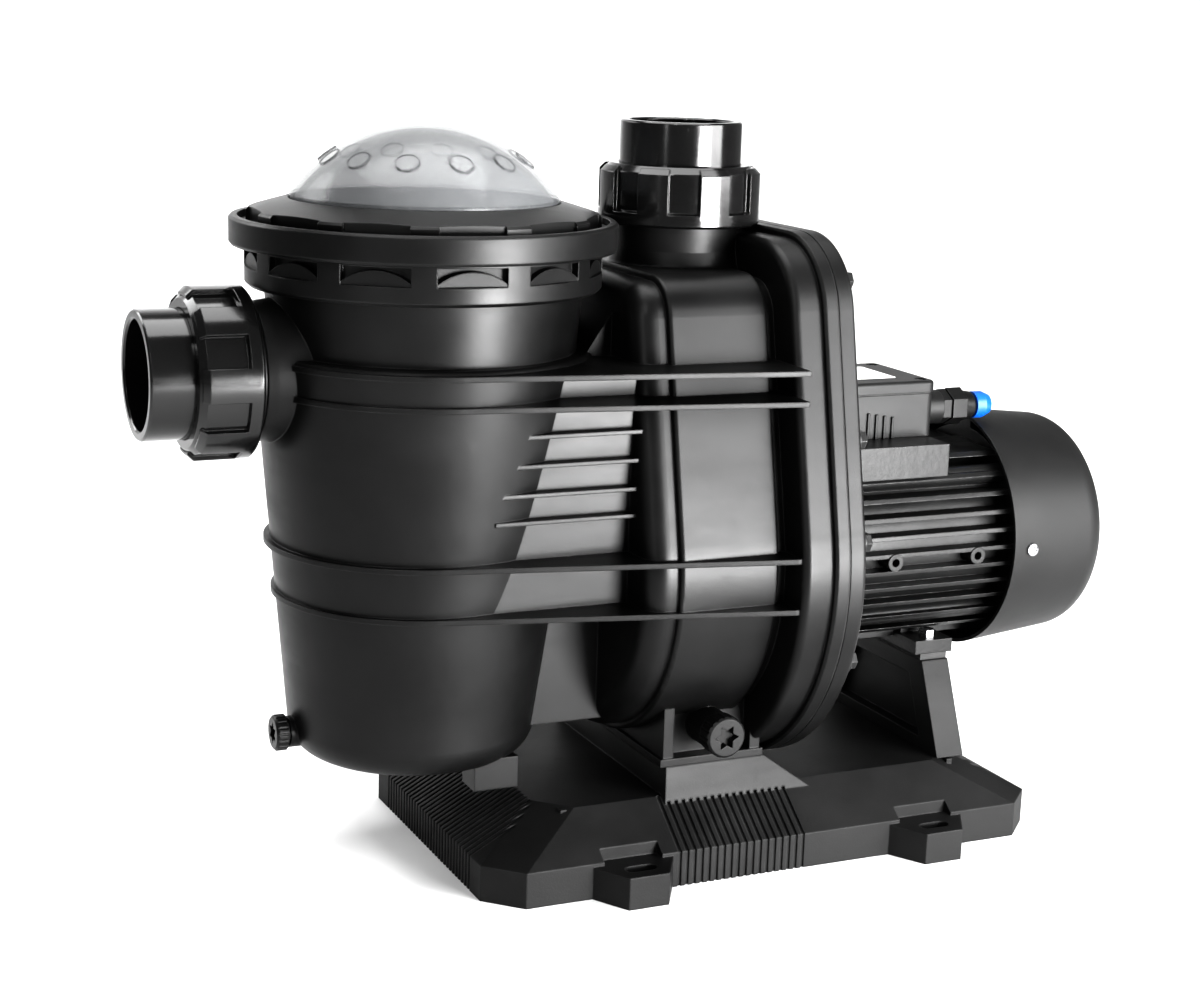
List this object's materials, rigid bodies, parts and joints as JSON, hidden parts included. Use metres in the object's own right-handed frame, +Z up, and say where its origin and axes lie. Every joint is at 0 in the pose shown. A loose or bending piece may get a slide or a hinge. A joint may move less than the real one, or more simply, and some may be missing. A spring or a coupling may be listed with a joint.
{
  "type": "pool pump",
  "caption": "Self-priming pool pump: strainer pot with clear screwed lid and lift-out basket, priming chamber, pipe unions, closed finned motor and plinth.",
  "frame": {"origin": "on the floor, on the pump's centre plane, 148 mm behind the strainer pot's vertical axis", "axes": "+X from the suction port towards the motor fan, +Z up"},
  "size_m": [0.632, 0.282, 0.451],
  "materials": {
    "body_plastic": "fine textured black moulding",
    "base_plastic": "coarse black moulding",
    "union_plastic": "polished black PVC",
    "ring_plastic": "satin black moulding",
    "clear_plastic": "clear polycarbonate",
    "grey_plastic": "glass filled grey plastic",
    "basket_plastic": "natural polypropylene",
    "inner_plastic": "black noryl",
    "rubber": "nitrile rubber",
    "steel": "stainless steel",
    "black_steel": "blackened steel",
    "laminations": "varnished electrical steel",
    "brass": "machined brass",
    "copper": "varnished copper wire",
    "motor_paint": "satin black paint on cast aluminium",
    "cowl_paint": "matte black paint on sheet steel",
    "box_plastic": "black terminal box moulding",
    "seal_ceramic": "lapped alumina",
    "seal_carbon": "seal carbon",
    "plug_blue": "blue blanking plug",
    "label": "blank white label"
  },
  "bodies": {
    "pump": {"plinth": "base_plastic", "motor_stand": "base_plastic", "stand_pad": "rubber", "stand_bolts": "steel", "wet_end_body": "body_plastic", "body_inserts": "brass", "body_gasket": "rubber", "body_bolts": "black_steel", "seal_plate": "body_plastic", "diffuser": "inner_plastic", "wear_ring": "steel", "union_seals": "rubber", "lid_seal": "rubber", "seal_seat": "seal_ceramic", "seal_seat_cup": "rubber", "motor_frame": "motor_paint", "front_shield": "motor_paint", "motor_bolts": "steel", "rear_shield": "motor_paint", "tie_rods": "steel", "bearing_outer_rings": "steel", "stator_core": "laminations", "stator_winding": "copper", "fan_cover": "cowl_paint", "fan_cover_screws": "steel", "terminal_box": "box_plastic", "terminal_lid_seal": "rubber", "terminal_lid": "box_plastic", "terminal_lid_screws": "steel", "rating_label": "label", "terminal_block": "grey_plastic", "terminal_studs": "brass", "gland_body": "ring_plastic", "gland_nut": "ring_plastic"},
    "suction_tail": {"suction_tailpiece": "union_plastic"},
    "suction_nut": {"suction_nut": "union_plastic"},
    "discharge_tail": {"discharge_tailpiece": "union_plastic"},
    "discharge_nut": {"discharge_nut": "union_plastic"},
    "lid": {"lid_dome": "clear_plastic"},
    "lock_ring": {"lock_ring": "ring_plastic"},
    "basket": {"basket": "basket_plastic"},
    "basket_handle": {"basket_handle": "basket_plastic"},
    "rotor": {"impeller": "grey_plastic", "impeller_insert": "brass", "shaft": "steel", "seal_drive_cup": "steel", "seal_bellows": "rubber", "seal_carbon_ring": "seal_carbon", "seal_spring": "steel", "slinger": "rubber", "bearing_inner_rings": "steel", "rotor_core": "laminations", "cooling_fan": "inner_plastic", "fan_clip": "steel"},
    "bearing_balls": {"bearing_balls": "steel"},
    "pot_drain_seal": {"pot_drain_seal": "rubber"},
    "pot_drain_plug": {"pot_drain_plug": "ring_plastic"},
    "chamber_drain_seal": {"chamber_drain_seal": "rubber"},
    "chamber_drain_plug": {"chamber_drain_plug": "ring_plastic"},
    "gland_plug": {"gland_plug": "plug_blue"}
  },
  "joints": [
    {"name": "lid_lift", "type": "slide", "parent": "pump", "child": "lid", "axis": [0, 0, 1], "range_m": [0, 0.42]},
    {"name": "lock_ring_turn", "type": "hinge", "parent": "lid", "child": "lock_ring", "pos_m": [-0.148, 0, 0.39], "axis": [0, 0, 1], "range_deg": [0, 60]},
    {"name": "basket_lift", "type": "slide", "parent": "pump", "child": "basket", "axis": [0, 0, 1], "range_m": [0, 0.316]},
    {"name": "handle_swing", "type": "hinge", "parent": "basket", "child": "basket_handle", "pos_m": [-0.148, 0, 0.371], "axis": [0, -1, 0], "range_deg": [0, 90]},
    {"name": "suction_draw", "type": "slide", "parent": "pump", "child": "suction_tail", "axis": [-1, 0, 0], "range_m": [0, 0.024]},
    {"name": "suction_nut_turn", "type": "hinge", "parent": "suction_tail", "child": "suction_nut", "pos_m": [-0.29, 0, 0.3065], "axis": [-1, 0, 0], "range_deg": [0, 1442]},
    {"name": "discharge_draw", "type": "slide", "parent": "pump", "child": "discharge_tail", "axis": [0, 0, 1], "range_m": [0, 0.024]},
    {"name": "discharge_nut_turn", "type": "hinge", "parent": "discharge_tail", "child": "discharge_nut", "pos_m": [0.018, 0, 0.41], "axis": [0, 0, 1], "range_deg": [0, 1442]},
    {"name": "rotor_spin", "type": "hinge", "parent": "pump", "child": "rotor", "pos_m": [0.15, 0, 0.1815], "axis": [1, 0, 0], "continuous": true},
    {"name": "bearing_roll", "type": "hinge", "parent": "pump", "child": "bearing_balls", "pos_m": [0.15, 0, 0.1815], "axis": [1, 0, 0], "continuous": true},
    {"name": "pot_drain_draw", "type": "slide", "parent": "pump", "child": "pot_drain_seal", "axis": [-1, 0, 0], "range_m": [0, 0.016]},
    {"name": "pot_drain_turn", "type": "hinge", "parent": "pot_drain_seal", "child": "pot_drain_plug", "pos_m": [-0.235, 0, 0.086], "axis": [-1, 0, 0], "range_deg": [0, 3190]},
    {"name": "chamber_drain_draw", "type": "slide", "parent": "pump", "child": "chamber_drain_seal", "axis": [0, -1, 0], "range_m": [0, 0.016]},
    {"name": "chamber_drain_turn", "type": "hinge", "parent": "chamber_drain_seal", "child": "chamber_drain_plug", "pos_m": [0.013, -0.095, 0.087], "axis": [0, -1, 0], "range_deg": [0, 3190]},
    {"name": "gland_plug_draw", "type": "slide", "parent": "pump", "child": "gland_plug", "axis": [1, 0, 0], "range_m": [0, 0.03]}
  ],
  "couplings": [
    {"joint": "basket_lift", "follows": "lid_lift", "ratio": 0.75},
    {"joint": "suction_nut_turn", "follows": "suction_draw", "rad_per_m": 1047.2},
    {"joint": "discharge_nut_turn", "follows": "discharge_draw", "rad_per_m": 1047.2},
    {"joint": "bearing_roll", "follows": "rotor_spin", "ratio": 0.384},
    {"joint": "pot_drain_turn", "follows": "pot_drain_draw", "rad_per_m": 3463.7},
    {"joint": "chamber_drain_turn", "follows": "chamber_drain_draw", "rad_per_m": 3463.7}
  ]
}
